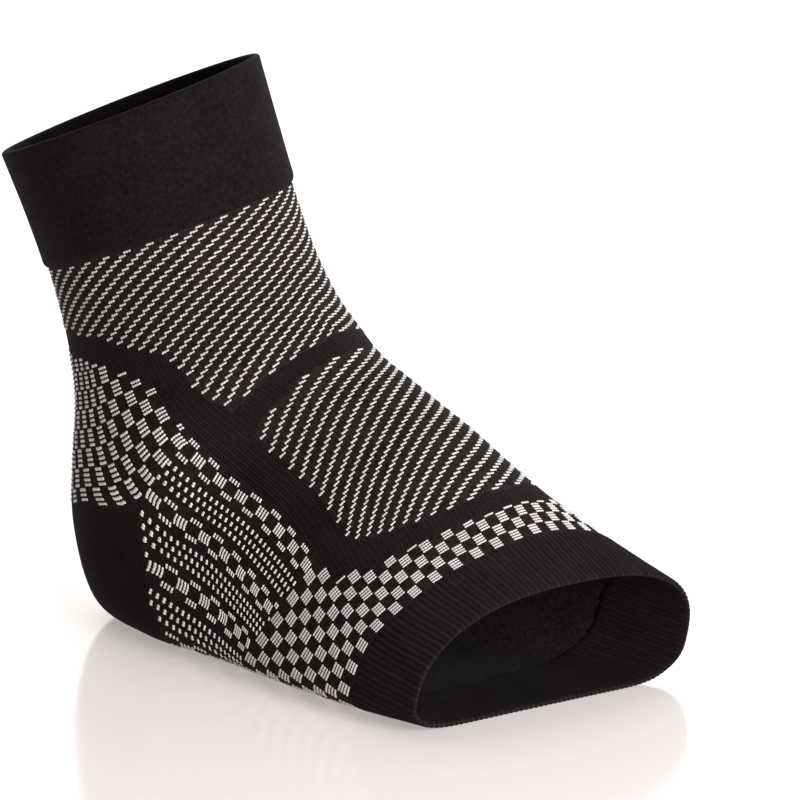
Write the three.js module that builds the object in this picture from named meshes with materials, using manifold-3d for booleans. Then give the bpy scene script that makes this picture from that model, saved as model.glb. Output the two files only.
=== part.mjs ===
// Ankle compression sleeve: one shaped knit tube, open at the leg and at the toes.
// Millimetres, +Z up, +X toward the toe opening, -Y the outer side, sole on Z = 0, origin under the ankle.
// Each zone of the knit is cut from a flat chart, then wrapped round the shape that the worn sleeve takes.

import * as THREE from 'three';
import { mergeVertices } from 'three/addons/utils/BufferGeometryUtils.js';
import Module from 'manifold-3d';

const wasm = await Module();
wasm.setup();

// Driving dimensions

const WALES = 304;         // knit columns once round the tube; column 0 runs down the front
const KNIT_WALL = 1.3;     // thickness of the single knit
const TOE_WALL = 1.6;      // thickness of the ribbed band at the toes
const CUFF_PROUD = 1.3;    // how far the doubled cuff stands out from the knit below it
const GAP = 0.3;           // clear space between neighbouring zones
const SOLE_EASE = 2;       // height over which the sole eases into its flat contact
const CUFF_HEIGHT = 40.5;  // length of the cuff along the leg
const CHART_COLUMNS = 40;  // facets round the tube
const CHART_ROWS = 32;     // facets along the tube
const MERGE = 1e-3;        // points closer than this are one point

// Sections across the worn sleeve, from the top of the cuff to the toe edge.
// frontX, frontZ    where the section meets the front of the leg tube or the instep
// backX, backZ      where it meets the back of the leg tube, the heel or the sole
// outer, inner      half widths toward -Y and +Y
// outerAt, innerAt  where those widths lie, from 0 at the back to 1 at the front
// ridge             how far the crest of the instep lies toward the inner side
// topRound, soleRound  exponents of the outline: 2 is an ellipse, more is squarer
// sway              shift of the section along Y
// slant, roll       degrees by which the outer side lies further back, and lower
// arch              lift of the inner side of the sole
// pull              share of the girth by which the stretched heel draws the wales forward
const COLUMNS = ['frontX', 'frontZ', 'backX', 'backZ', 'outer', 'inner', 'outerAt', 'innerAt',
  'ridge', 'topRound', 'soleRound', 'sway', 'slant', 'roll', 'arch', 'pull'];
const SECTIONS = [
  [3, 185, -74.5, 153, 38.5, 39.5, 0.50, 0.50, 0, 2.1, 2.1, -8, 0, 6, 0, 0],       // cuff top
  [9.5, 166, -67.5, 134, 37, 37, 0.50, 0.50, 0, 2.1, 2.1, -6, 0, 6, 0, 0],         // cuff middle
  [16.5, 146, -63, 114.5, 35.5, 35.5, 0.50, 0.50, 0, 2.1, 2.0, -4, 0, 5, 0, 0],    // cuff foot
  [24, 127, -60.5, 95, 34.5, 35, 0.50, 0.50, 0, 2.1, 1.9, -2, 0, 4, 0, 0],         // leg
  [32.5, 112.5, -57.5, 70.5, 35.5, 36, 0.46, 0.48, 0, 2.1, 1.9, 0, 0, 2, 0, 0.006],  // above the ankle
  [41, 104, -58, 47.5, 36.5, 37, 0.44, 0.46, 2, 2.1, 2.0, 0, 0, 0, 0, 0.027],      // ankle
  [50, 97.5, -57.5, 27.5, 35.5, 35, 0.38, 0.42, 4, 2.0, 2.1, 0, 0, 0, 0, 0.045],   // back of the heel
  [59.5, 93, -47, 3.5, 34.5, 34, 0.32, 0.36, 5, 2.0, 2.3, 0, 0, 0, 0, 0.058],      // foot of the heel
  [70, 86.5, -20, -3, 36, 34, 0.28, 0.34, 6, 2.0, 2.6, 0, 3, 0, 2, 0.055],         // front of the heel
  [82.5, 78.5, 15.5, -3, 39, 34, 0.24, 0.34, 7, 2.0, 2.7, 0, 6, 0, 8, 0.034],      // arch
  [95.5, 66, 52, -3, 44, 37.5, 0.22, 0.34, 8, 2.1, 2.7, 0, 11, 0, 6, 0.012],       // middle of the sole
  [111.5, 52.5, 88.5, -3, 48.5, 44, 0.25, 0.36, 6, 2.3, 2.7, 0, 15, 0, 2, 0],      // before the toe band
  [129, 40.5, 123, -3, 49.5, 46, 0.30, 0.38, 5, 2.5, 2.7, 0, 19.5, 0, 0, 0],       // toe edge
];

// Swellings at both sides of the ankle: centre, height and radius
const ANKLE_SWELLS = [
  { centre: new THREE.Vector3(0, -37, 66), height: 4, radius: 15 },
  { centre: new THREE.Vector3(8, 38, 78), height: 5, radius: 17 },
];

// Borders of the zones on the chart, from the front centre to the back centre of the outer half.
// Each row holds the wale and the distance along the sleeve; the inner half mirrors the outer one.
const LEG_POINT = [[0, 98], [8, 98.5], [22, 100], [36, 103], [53, 108.5], [58.5, 110.5], [59.5, 104],
  [59.5, 86], [60.5, 80.5], [64, 77.5], [72, 73], [82, 69.2], [92, 66.5], [110, 63], [152, 61]];
const CHECK_TOP = [[0, 218.5], [12, 218.5], [27, 217], [36, 215.5], [51, 210.5], [59, 208], [63, 204],
  [69.5, 201], [71, 195.5], [72.5, 150], [72.5, 105], [73.5, 97], [73.5, 90], [75, 85], [83, 79],
  [92.5, 75], [106, 71], [126, 68], [152, 67]];
const INSTEP_EDGE = [[0, 107], [16, 107.5], [32, 109.5], [50, 116.5], [56, 119.5], [60, 124], [61, 130.5],
  [61, 160], [58.5, 190], [57, 194.5], [48.5, 200], [36.5, 206], [24, 209.5], [6, 210.6], [0, 210.7]];
const HEEL_EDGE = [[152, 109], [126, 111], [113, 115.5], [100, 123], [105, 133.5], [111.5, 142.3],
  [117, 149.8], [122.5, 158.5], [136, 164.5], [152, 166.5]];
const TOE_TOP = [[0, 235], [9, 235.5], [25, 236.5], [57, 235], [72, 233], [92, 235.5], [120, 236.5], [152, 237]];

// Surface of the worn sleeve

const columnsOf = (row) => Object.fromEntries(COLUMNS.map((name, k) => [name, row[k]]));

/** Distance along the sleeve at each section: the mean of the steps along its front and its back. */
function measureStations() {
  const stations = [0];
  for (let i = 1; i < SECTIONS.length; i++) {
    const before = columnsOf(SECTIONS[i - 1]);
    const here = columnsOf(SECTIONS[i]);
    const frontStep = Math.hypot(here.frontX - before.frontX, here.frontZ - before.frontZ);
    const backStep = Math.hypot(here.backX - before.backX, here.backZ - before.backZ);
    stations.push(stations[i - 1] + (frontStep + backStep) / 2);
  }
  return stations;
}

const stations = measureStations();
const LENGTH = stations.at(-1);

/** Slope of one table column at section i, weighted for uneven steps and one-sided at the ends. */
function slope(i, column) {
  const value = (k) => SECTIONS[k][column];
  const last = SECTIONS.length - 1;
  if (i === 0) return (value(1) - value(0)) / (stations[1] - stations[0]);
  if (i === last) return (value(last) - value(last - 1)) / (stations[last] - stations[last - 1]);
  const left = stations[i] - stations[i - 1];
  const right = stations[i + 1] - stations[i];
  const rise = left * left * (value(i + 1) - value(i)) + right * right * (value(i) - value(i - 1));
  return rise / (left * right * (left + right));
}

/** The table's row at any distance along the sleeve, on a smooth curve through the sections. */
function sectionAt(along) {
  let i = 0;
  while (i < SECTIONS.length - 2 && along > stations[i + 1]) i++;
  const step = stations[i + 1] - stations[i];
  const s = (along - stations[i]) / step;
  const blend = s * s * (3 - 2 * s);
  const row = COLUMNS.map((_, column) => {
    const ends = SECTIONS[i][column] * (1 - blend) + SECTIONS[i + 1][column] * blend;
    const leaving = s * (1 - s) * (1 - s) * slope(i, column);
    const arriving = s * s * (1 - s) * slope(i + 1, column);
    return ends + step * (leaving - arriving);
  });
  return columnsOf(row);
}

/** One point of a section. Angle 0 is the front, a quarter turn the outer side and a half turn the back. */
function sectionPoint(section, angle) {
  const c = Math.cos(angle);
  const s = Math.sin(angle);
  const widestAt = s > 0 ? section.outerAt : section.innerAt;
  const power = 2 / (c > 0 ? section.topRound : section.soleRound);
  const reach = c > 0 ? 1 - widestAt : widestAt;
  const rise = widestAt + reach * Math.sign(c) * Math.abs(c) ** power;
  const widest = s > 0 ? section.outer : section.inner;
  const spread = widest * Math.sign(s) * Math.abs(s) ** power;
  const inward = THREE.MathUtils.clamp(-spread / section.inner, 0, 1);
  const outward = spread - section.ridge * rise * rise;
  const x = section.backX + rise * (section.frontX - section.backX);
  const z = section.backZ + rise * (section.frontZ - section.backZ);
  const lifted = z - Math.tan(THREE.MathUtils.degToRad(section.roll)) * outward
    + section.arch * inward ** 1.5 * (1 - rise) ** 2;
  return new THREE.Vector3(
    x - Math.tan(THREE.MathUtils.degToRad(section.slant)) * outward,
    section.sway - outward,
    flattenSole(lifted),
  );
}

/** Presses what would lie below the ground flat, easing in over a short height. */
function flattenSole(z) {
  if (z > SOLE_EASE) return z;
  if (z < -SOLE_EASE) return 0;
  return (z + SOLE_EASE) ** 2 / (4 * SOLE_EASE);
}

/** Points of half a section with the arc length up to each. */
function traceHalf(section, startAngle) {
  const steps = 180;
  const points = [];
  const lengths = [0];
  for (let i = 0; i <= steps; i++) {
    points.push(sectionPoint(section, startAngle + Math.PI * i / steps));
    if (i > 0) lengths.push(lengths[i - 1] + points[i].distanceTo(points[i - 1]));
  }
  return { points, lengths };
}

/** The point at a share of a half's arc length. */
function pointOnHalf({ points, lengths }, share) {
  const target = share * lengths.at(-1);
  let i = 0;
  while (i < lengths.length - 2 && target > lengths[i + 1]) i++;
  const part = (target - lengths[i]) / (lengths[i + 1] - lengths[i]);
  return points[i].clone().lerp(points[i + 1], part);
}

/** A ring of points at one distance along the sleeve, one for each wale. */
function waleRing(along) {
  const section = sectionAt(along);
  const outerHalf = traceHalf(section, 0);
  const innerHalf = traceHalf(section, Math.PI);
  const ring = [];
  for (let wale = 0; wale < WALES; wale++) {
    const turn = 2 * Math.PI * wale / WALES;
    const share = wale / WALES - section.pull * (Math.sin(turn) + 0.2 * Math.sin(2 * turn));
    ring.push(share < 0.5 ? pointOnHalf(outerHalf, share * 2) : pointOnHalf(innerHalf, share * 2 - 1));
  }
  return ring;
}

/** Outward normals of a grid of rings, from the differences round and along it. */
function gridNormals(rings) {
  const last = rings.length - 1;
  return rings.map((ring, i) => ring.map((_, j) => {
    const round = ring[(j + 1) % WALES].clone().sub(ring[(j + WALES - 1) % WALES]);
    const down = rings[Math.min(i + 1, last)][j].clone().sub(rings[Math.max(i - 1, 0)][j]);
    return round.cross(down).normalize();
  }));
}

const ringCount = Math.round(LENGTH) + 1;
const rings = Array.from({ length: ringCount }, (_, i) => waleRing(LENGTH * i / (ringCount - 1)));
gridNormals(rings).forEach((row, i) => row.forEach((normal, j) => {
  const point = rings[i][j];
  const swell = ANKLE_SWELLS.map(({ centre, height, radius }) =>
    height * Math.exp(-centre.distanceToSquared(point) / radius ** 2));
  point.addScaledVector(normal, swell.reduce((sum, one) => sum + one, 0));
}));
const normals = gridNormals(rings);

/** A vector of the grid at any wale and distance along the sleeve. */
function sample(grid, wale, along) {
  const column = THREE.MathUtils.euclideanModulo(wale, WALES);
  const row = THREE.MathUtils.clamp(along / LENGTH, 0, 1) * (ringCount - 1);
  const j = Math.floor(column);
  const i = Math.min(Math.floor(row), ringCount - 2);
  const upper = grid[i][j % WALES].clone().lerp(grid[i][(j + 1) % WALES], column - j);
  const lower = grid[i + 1][j % WALES].clone().lerp(grid[i + 1][(j + 1) % WALES], column - j);
  return upper.lerp(lower, row - i);
}

// Flat chart: wales across, distance along the sleeve downward, and the wall from 0 inside to 1 outside

/** A closed geometry as a solid whose triangles all keep their own edges. */
function solidOf(geometry) {
  const bare = geometry.clone();
  bare.deleteAttribute('normal');
  bare.deleteAttribute('uv');
  const merged = mergeVertices(bare, MERGE);
  const triVerts = Uint32Array.from(merged.index.array);
  const faceID = Uint32Array.from({ length: triVerts.length / 3 }, (_, i) => i);
  const vertProperties = Float32Array.from(merged.attributes.position.array);
  return new wasm.Manifold(new wasm.Mesh({ numProp: 3, vertProperties, triVerts, faceID }));
}

/** A flat outline as a cutter that passes right through the chart. */
function cutter(outline) {
  const shape = new THREE.Shape(outline);
  const geometry = new THREE.ExtrudeGeometry(shape, { depth: 3, bevelEnabled: false });
  return solidOf(geometry.translate(0, 0, -1));
}

const vectors = (rows) => rows.map(([wale, along]) => new THREE.Vector2(wale, along));

/** Outer-half rows and their mirror image, in order from the inner back to the outer back. */
const bothHalves = (rows) => [...rows.slice(1).reverse().map(([wale, along]) => [-wale, along]), ...rows];

/** A line moved sideways by a distance; positive is to the left of its direction. */
function shifted(line, distance) {
  return line.map((point, i) => {
    const before = line[Math.max(i - 1, 0)];
    const after = line[Math.min(i + 1, line.length - 1)];
    const direction = after.clone().sub(before).normalize();
    return new THREE.Vector2(point.x - direction.y * distance, point.y + direction.x * distance);
  });
}

const OVERHANG = 8;  // how far the cutters run past the chart

/** All of the chart beyond a border that crosses it, moved toward the toes by a distance. */
function beyond(rows, distance) {
  const line = shifted(vectors(bothHalves(rows)), distance);
  const left = line[0].clone().setX(-WALES / 2 - OVERHANG);
  const right = line.at(-1).clone().setX(WALES / 2 + OVERHANG);
  const bottom = LENGTH + OVERHANG;
  const corners = [new THREE.Vector2(right.x, bottom), new THREE.Vector2(left.x, bottom)];
  return cutter([left, ...line, right, ...corners]);
}

/** The instep's outline, grown by a distance. */
function instepCutter(grow) {
  const outerEdge = shifted(vectors(INSTEP_EDGE), -grow).slice(1, -1);
  const innerEdge = outerEdge.map((point) => new THREE.Vector2(-point.x, point.y)).reverse();
  const top = new THREE.Vector2(0, INSTEP_EDGE[0][1] - grow);
  const bottom = new THREE.Vector2(0, INSTEP_EDGE.at(-1)[1] + grow);
  return cutter([top, ...outerEdge, bottom, ...innerEdge]);
}

/** The heel's outline, grown by a distance: half of it lies at each end of the chart. */
function heelCutter(grow) {
  const edge = shifted(vectors(HEEL_EDGE), grow);
  const pastTop = edge[0].clone().setX(WALES / 2 + OVERHANG);
  const pastBottom = edge.at(-1).clone().setX(WALES / 2 + OVERHANG);
  const outerHalf = [pastTop, ...edge, pastBottom];
  const innerHalf = outerHalf.map((point) => new THREE.Vector2(-point.x, point.y)).reverse();
  return cutter(outerHalf).add(cutter(innerHalf));
}

const half = GAP / 2;
const chartBox = new THREE.BoxGeometry(WALES, LENGTH, 1, CHART_COLUMNS, CHART_ROWS, 1);
const chart = solidOf(chartBox.translate(0, LENGTH / 2, 0.5));
const CUFF_FOOT = [[0, CUFF_HEIGHT], [WALES / 2, CUFF_HEIGHT]];

const flat = {
  top_cuff: chart.subtract(beyond(CUFF_FOOT, -half)),
  leg_panel: chart.intersect(beyond(CUFF_FOOT, half)).subtract(beyond(LEG_POINT, -half)),
  support_band: chart.intersect(beyond(LEG_POINT, half)).subtract(beyond(CHECK_TOP, -half))
    .subtract(instepCutter(half)),
  instep_panel: chart.intersect(instepCutter(-half)),
  check_panel: chart.intersect(beyond(CHECK_TOP, half)).subtract(beyond(TOE_TOP, -half))
    .subtract(heelCutter(half)),
  heel_cup: chart.intersect(heelCutter(-half)),
  toe_band: chart.intersect(beyond(TOE_TOP, half)),
};

// Wrapping

/** Corners of each triangle of an index that keep() accepts. */
function keptCorners(index, keep) {
  const kept = [];
  for (let t = 0; t < index.length; t += 3) {
    const corners = [index[t], index[t + 1], index[t + 2]];
    if (keep(corners)) kept.push(...corners);
  }
  return kept;
}

/** A flat zone wrapped round the sleeve, its faces at these offsets, and closed at the back. */
function wrap(zone, innerOffset, outerOffset) {
  const { vertProperties, triVerts } = zone.getMesh();
  const positions = [];
  const ends = [];
  for (let i = 0; i < vertProperties.length; i += 3) {
    const wale = vertProperties[i];
    const along = vertProperties[i + 1];
    // a cut leaves points part way through the chart's end walls: each goes to the nearer face
    const offset = Math.round(vertProperties[i + 2]) === 1 ? outerOffset : innerOffset;
    const normal = sample(normals, wale, along).normalize();
    const point = sample(rings, wale, along).addScaledVector(normal, offset);
    positions.push(point.x, point.y, point.z);
    ends.push(Math.abs(wale) > WALES / 2 - MERGE ? Math.sign(wale) : 0);
  }
  const offEndWall = (corners) => Math.abs(corners.reduce((sum, corner) => sum + ends[corner], 0)) < 3;
  const geometry = new THREE.BufferGeometry();
  geometry.setAttribute('position', new THREE.Float32BufferAttribute(positions, 3));
  geometry.setIndex(keptCorners(triVerts, offEndWall));
  const closed = mergeVertices(geometry, MERGE);
  closed.setIndex(keptCorners(closed.index.array, (corners) => new Set(corners).size === 3));
  closed.computeVertexNormals();
  return closed;
}

const plainKnit = new THREE.MeshStandardMaterial({ color: 0x1e1c1d, roughness: 0.9, metalness: 0 });
const stripedKnit = new THREE.MeshStandardMaterial({ color: 0x56504f, roughness: 0.9, metalness: 0 });
const checkedKnit = new THREE.MeshStandardMaterial({ color: 0x6a6462, roughness: 0.9, metalness: 0 });

const group = new THREE.Group();
group.name = 'ankle_compression_sleeve';

function addZone(name, material, innerOffset, outerOffset) {
  const mesh = new THREE.Mesh(wrap(flat[name], innerOffset, outerOffset), material);
  mesh.name = name;
  group.add(mesh);
}

addZone('top_cuff', plainKnit, -KNIT_WALL, CUFF_PROUD);
addZone('leg_panel', stripedKnit, -KNIT_WALL, 0);
addZone('support_band', plainKnit, -KNIT_WALL, 0);
addZone('instep_panel', stripedKnit, -KNIT_WALL, 0);
addZone('check_panel', checkedKnit, -KNIT_WALL, 0);
addZone('heel_cup', plainKnit, -KNIT_WALL, 0);
addZone('toe_band', plainKnit, -TOE_WALL, 0);

export default group;
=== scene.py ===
import math

import bpy
import numpy as np
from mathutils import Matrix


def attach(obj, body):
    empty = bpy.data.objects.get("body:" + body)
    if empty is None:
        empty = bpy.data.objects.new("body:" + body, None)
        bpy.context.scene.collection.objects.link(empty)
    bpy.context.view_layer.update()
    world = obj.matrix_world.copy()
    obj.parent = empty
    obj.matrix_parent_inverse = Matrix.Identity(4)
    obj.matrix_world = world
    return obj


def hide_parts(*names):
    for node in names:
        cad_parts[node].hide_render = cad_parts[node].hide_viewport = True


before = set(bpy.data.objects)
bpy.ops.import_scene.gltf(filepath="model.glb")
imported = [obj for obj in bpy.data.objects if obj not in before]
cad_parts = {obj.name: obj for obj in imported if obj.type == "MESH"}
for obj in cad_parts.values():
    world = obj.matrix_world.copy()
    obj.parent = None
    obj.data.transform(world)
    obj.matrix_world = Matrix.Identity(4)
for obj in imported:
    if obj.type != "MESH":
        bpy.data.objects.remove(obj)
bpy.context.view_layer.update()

# Camera and light
# A camera with a long lens looks at the sleeve's outer side from a little above.
# One soft lamp stands on the right and a larger one hangs above and behind, in a dim white room.

CAMERA_TURN = math.radians(37.0)
CAMERA_RISE = math.radians(16.3)
CAMERA_AWAY = 2.0
CAMERA_TARGET = np.array([0.0554, 0.0125, 0.0830])
CAMERA_FARTHEST = 50.0
FILM_WIDE = 36.0
LENS_LONG = 288.4
ROOM_WHITE = (1.0, 1.0, 1.0, 1.0)
ROOM_STRENGTH = 0.1

scene = bpy.context.scene
scene.view_settings.view_transform = "Standard"

camera_back = np.array([
    math.sin(CAMERA_TURN) * math.cos(CAMERA_RISE),
    -math.cos(CAMERA_TURN) * math.cos(CAMERA_RISE),
    math.sin(CAMERA_RISE),
])
camera_data = bpy.data.cameras.new("camera")
camera_data.sensor_width = FILM_WIDE
camera_data.lens = LENS_LONG
camera_data.clip_end = CAMERA_FARTHEST
camera = bpy.data.objects.new("camera", camera_data)
camera.location = CAMERA_TARGET + camera_back * CAMERA_AWAY
camera.rotation_euler = (math.pi / 2 - CAMERA_RISE, 0.0, CAMERA_TURN)
scene.collection.objects.link(camera)
scene.camera = camera


def studio_lamp(name, place, size, power):
    """A square soft lamp of that size and power at a place, facing the middle of the sleeve."""
    data = bpy.data.lights.new(name, "AREA")
    data.size = size
    data.energy = power
    lamp = bpy.data.objects.new(name, data)
    lamp.location = place
    away = np.array(place) - CAMERA_TARGET
    tilt = math.atan2(math.hypot(away[0], away[1]), away[2])
    heading = math.atan2(away[1], away[0]) + math.pi / 2
    lamp.rotation_euler = (tilt, 0.0, heading)
    scene.collection.objects.link(lamp)


studio_lamp("lamp_right", place=(1.78, -0.45, 0.7), size=1.2, power=52.0)
studio_lamp("lamp_above", place=(-0.4, 0.8, 2.25), size=2.4, power=36.0)

room_light = bpy.data.worlds.new("room_light")
room_light.use_nodes = True
background = room_light.node_tree.nodes["Background"]
background.inputs["Color"].default_value = ROOM_WHITE
background.inputs["Strength"].default_value = ROOM_STRENGTH
scene.world = room_light

# Floor
# A plain pale board with a soft gloss, laid under the sleeve and curved up behind it into a wall.
# It is a stage and no part of the sleeve. The board glows a little, and the wall glows white.

FLOOR_HALF_WIDE = 5.0
FLOOR_FRONT = -3.0
FLOOR_BACK = 2.6
FLOOR_CURVE = 1.2
FLOOR_WALL_TOP = 4.0
FLOOR_ACROSS = 8
FLOOR_BEND_STEPS = 24
FLOOR_BELOW = 0.0004
FLOOR_COLOUR = (0.56, 0.51, 0.50, 1.0)
FLOOR_ROUGHNESS = 0.13
FLOOR_SPECULAR = 0.35
FLOOR_GLOW = (0.375, 0.355, 0.35, 1.0)
WALL_GLOW = (1.8, 1.8, 1.8, 1.0)


class Shade:
    """A socket in a material's node tree. Sums, differences and products of values add Math nodes,
    and node() adds any other node: its settings are set first, then its sockets take values or links."""

    def __init__(self, tree, socket=None):
        self.tree = tree
        self.socket = socket

    def node(self, kind, settings=None, sockets=None, out=0):
        """A new node of that kind, as the Shade of one of its outputs."""
        made = self.tree.nodes.new("ShaderNode" + kind)
        for key, value in (settings or {}).items():
            setattr(made, key, value)
        for key, value in (sockets or {}).items():
            if isinstance(value, Shade):
                self.tree.links.new(value.socket, made.inputs[key])
            else:
                made.inputs[key].default_value = value
        return Shade(self.tree, made.outputs[out] if made.outputs else None)

    def maths(self, operation, first, second=0.0):
        return self.node("Math", {"operation": operation}, {0: first, 1: second})

    def __add__(self, other):
        return self.maths("ADD", self, other)

    def __radd__(self, other):
        return self.maths("ADD", other, self)

    def __sub__(self, other):
        return self.maths("SUBTRACT", self, other)

    def __rsub__(self, other):
        return self.maths("SUBTRACT", other, self)

    def __mul__(self, other):
        return self.maths("MULTIPLY", self, other)

    def __rmul__(self, other):
        return self.maths("MULTIPLY", other, self)

    def fraction(self):
        """The value less the whole number below it."""
        return self.maths("FRACT", self)

    def size(self):
        """The value without its sign."""
        return self.maths("ABSOLUTE", self)

    def wave(self):
        """1 where the value is whole, -1 half way between."""
        return self.maths("COSINE", self * (2 * math.pi))

    def clamped(self):
        """The value, held between 0 and 1."""
        return self.node("Clamp", sockets={0: self})

    def blend(self, first, second):
        """The colour that lies this share of the way from the first colour to the second. A Mix node's
        colours are its sockets 6 and 7, and the mixed colour is its output 2."""
        return self.node("Mix", {"data_type": "RGBA"}, {0: self, 6: first, 7: second}, out=2)


def new_material(name):
    """A material with an empty node tree, and the Shade that its nodes start from."""
    material = bpy.data.materials.new(name)
    material.use_nodes = True
    material.node_tree.nodes.clear()
    return material, Shade(material.node_tree)


def finish_material(shade, sockets):
    """Feeds the material's output from one Principled shader with these sockets."""
    surface = shade.node("BsdfPrincipled", sockets=sockets)
    shade.node("OutputMaterial", sockets={"Surface": surface})


def mesh_piece(name, points, faces, material, normals=None, uv=None):
    """A mesh object from an array of points and a list of corner arrays, one for each number of corners.
    normals gives a smooth direction for each point, and uv a pair for each corner in faces' order."""
    corners = np.concatenate([face.ravel() for face in faces])
    counts = np.concatenate([np.full(len(face), face.shape[1]) for face in faces])
    mesh = bpy.data.meshes.new(name)
    mesh.vertices.add(len(points))
    mesh.vertices.foreach_set("co", np.asarray(points, dtype=np.float32).ravel())
    mesh.loops.add(len(corners))
    mesh.loops.foreach_set("vertex_index", corners.astype(np.int32))
    mesh.polygons.add(len(counts))
    mesh.polygons.foreach_set("loop_start", (np.cumsum(counts) - counts).astype(np.int32))
    mesh.update(calc_edges=True)
    mesh.polygons.foreach_set("use_smooth", np.ones(len(counts), dtype=bool))
    if uv is not None:
        layer = mesh.uv_layers.new(name="knit")
        layer.uv.foreach_set("vector", np.asarray(uv, dtype=np.float32).ravel())
    if normals is not None:
        mesh.normals_split_custom_set_from_vertices(np.asarray(normals, dtype=np.float32))
    mesh.materials.append(material)
    piece = bpy.data.objects.new(name, mesh)
    scene.collection.objects.link(piece)
    return piece


# The floor's profile, level and then a quarter circle and a wall, is carried across the camera's view.
floor_bend = np.linspace(0.0, math.pi / 2, FLOOR_BEND_STEPS)
bend_away = FLOOR_BACK + FLOOR_CURVE * np.sin(floor_bend)
bend_rise = FLOOR_CURVE * (1 - np.cos(floor_bend))
floor_away = np.concatenate([[FLOOR_FRONT], bend_away, [FLOOR_BACK + FLOOR_CURVE]])
floor_rise = np.concatenate([[0.0], bend_rise, [FLOOR_WALL_TOP]])
floor_side = np.linspace(-FLOOR_HALF_WIDE, FLOOR_HALF_WIDE, FLOOR_ACROSS)
away_grid, side_grid = np.meshgrid(floor_away, floor_side, indexing="ij")
rise_grid = np.repeat(floor_rise[:, None], FLOOR_ACROSS, axis=1)
right_way = np.array([math.cos(CAMERA_TURN), math.sin(CAMERA_TURN)])
back_way = np.array([-math.sin(CAMERA_TURN), math.cos(CAMERA_TURN)])
floor_points = np.stack([
    side_grid * right_way[0] + away_grid * back_way[0],
    side_grid * right_way[1] + away_grid * back_way[1],
    rise_grid - FLOOR_BELOW,
], axis=-1)
floor_index = np.arange(len(floor_away) * FLOOR_ACROSS).reshape(len(floor_away), FLOOR_ACROSS)
floor_faces = np.stack([
    floor_index[:-1, :-1],
    floor_index[:-1, 1:],
    floor_index[1:, 1:],
    floor_index[1:, :-1],
], axis=-1).reshape(-1, 4)

floor_material, shade = new_material("pale_floor")
floor_place = shade.node("TexCoord", out="Object")
floor_up = shade.node("SeparateXYZ", sockets={0: floor_place}, out="Z").clamped()
finish_material(shade, {
    "Base Color": FLOOR_COLOUR,
    "Emission Color": floor_up.blend(FLOOR_GLOW, WALL_GLOW),
    "Emission Strength": 1.0,
    "Roughness": FLOOR_ROUGHNESS,
    "Specular IOR Level": FLOOR_SPECULAR,
})
floor = mesh_piece("floor", floor_points.reshape(-1, 3), [floor_faces], floor_material)

# Top cuff
# A doubled tube of plain near-black nylon and elastane knit round the top opening.
# It is turned over at the top, so the rim is a soft fold, and it is knitted on to the leg panel below,
# where it ends in a small round step because it is thicker.

MM = 0.001
WALES = 304
KNIT_WALL = 1.3
CUFF_PROUD = 1.3
CUFF_HEIGHT = 40.5
CUFF_FOLD = 1.0
CUFF_STEP = 2.6
CUFF_STEP_DIP = -0.35
CUFF_FOLD_POINTS = 11
CUFF_STEP_POINTS = 7
CUFF_OUTER_POINTS = 30
CUFF_INNER_POINTS = 20

WORN_SECTIONS = np.array([
    # front x, front z, back x, back z, half width on the outer and on the inner side,
    # share of the way up where each side is widest, ridge, roundness at the top and at the sole,
    # sway, slant, roll, arch, pull
    [3, 185, -74.5, 153, 38.5, 39.5, 0.50, 0.50, 0, 2.1, 2.1, -8, 0, 6, 0, 0],
    [9.5, 166, -67.5, 134, 37, 37, 0.50, 0.50, 0, 2.1, 2.1, -6, 0, 6, 0, 0],
    [16.5, 146, -63, 114.5, 35.5, 35.5, 0.50, 0.50, 0, 2.1, 2.0, -4, 0, 5, 0, 0],
    [24, 127, -60.5, 95, 34.5, 35, 0.50, 0.50, 0, 2.1, 1.9, -2, 0, 4, 0, 0],
    [32.5, 112.5, -57.5, 70.5, 35.5, 36, 0.46, 0.48, 0, 2.1, 1.9, 0, 0, 2, 0, 0.006],
    [41, 104, -58, 47.5, 36.5, 37, 0.44, 0.46, 2, 2.1, 2.0, 0, 0, 0, 0, 0.027],
    [50, 97.5, -57.5, 27.5, 35.5, 35, 0.38, 0.42, 4, 2.0, 2.1, 0, 0, 0, 0, 0.045],
    [59.5, 93, -47, 3.5, 34.5, 34, 0.32, 0.36, 5, 2.0, 2.3, 0, 0, 0, 0, 0.058],
    [70, 86.5, -20, -3, 36, 34, 0.28, 0.34, 6, 2.0, 2.6, 0, 3, 0, 2, 0.055],
    [82.5, 78.5, 15.5, -3, 39, 34, 0.24, 0.34, 7, 2.0, 2.7, 0, 6, 0, 8, 0.034],
    [95.5, 66, 52, -3, 44, 37.5, 0.22, 0.34, 8, 2.1, 2.7, 0, 11, 0, 6, 0.012],
    [111.5, 52.5, 88.5, -3, 48.5, 44, 0.25, 0.36, 6, 2.3, 2.7, 0, 15, 0, 2, 0],
    [129, 40.5, 123, -3, 49.5, 46, 0.30, 0.38, 5, 2.5, 2.7, 0, 19.5, 0, 0, 0],
])
# Middle, height and radius in mm of the two round swells at the sides of the ankle part.
ANKLE_SWELLS = (((0, -37, 66), 4, 15), ((8, 38, 78), 5, 17))
ARCH_CURVE = 1.5
SOLE_EASE = 2.0
STEP_ALONG = 0.5
STEPS_PER_WALE = 2
FINE_ANGLES = 721
PULL_TWICE = 0.2
ROWS_APART = 2.0

front_steps = np.hypot(*np.diff(WORN_SECTIONS[:, 0:2], axis=0).T)
back_steps = np.hypot(*np.diff(WORN_SECTIONS[:, 2:4], axis=0).T)
stations = np.concatenate([[0.0], np.cumsum((front_steps + back_steps) / 2)])
SLEEVE_LONG = stations[-1]


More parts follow.
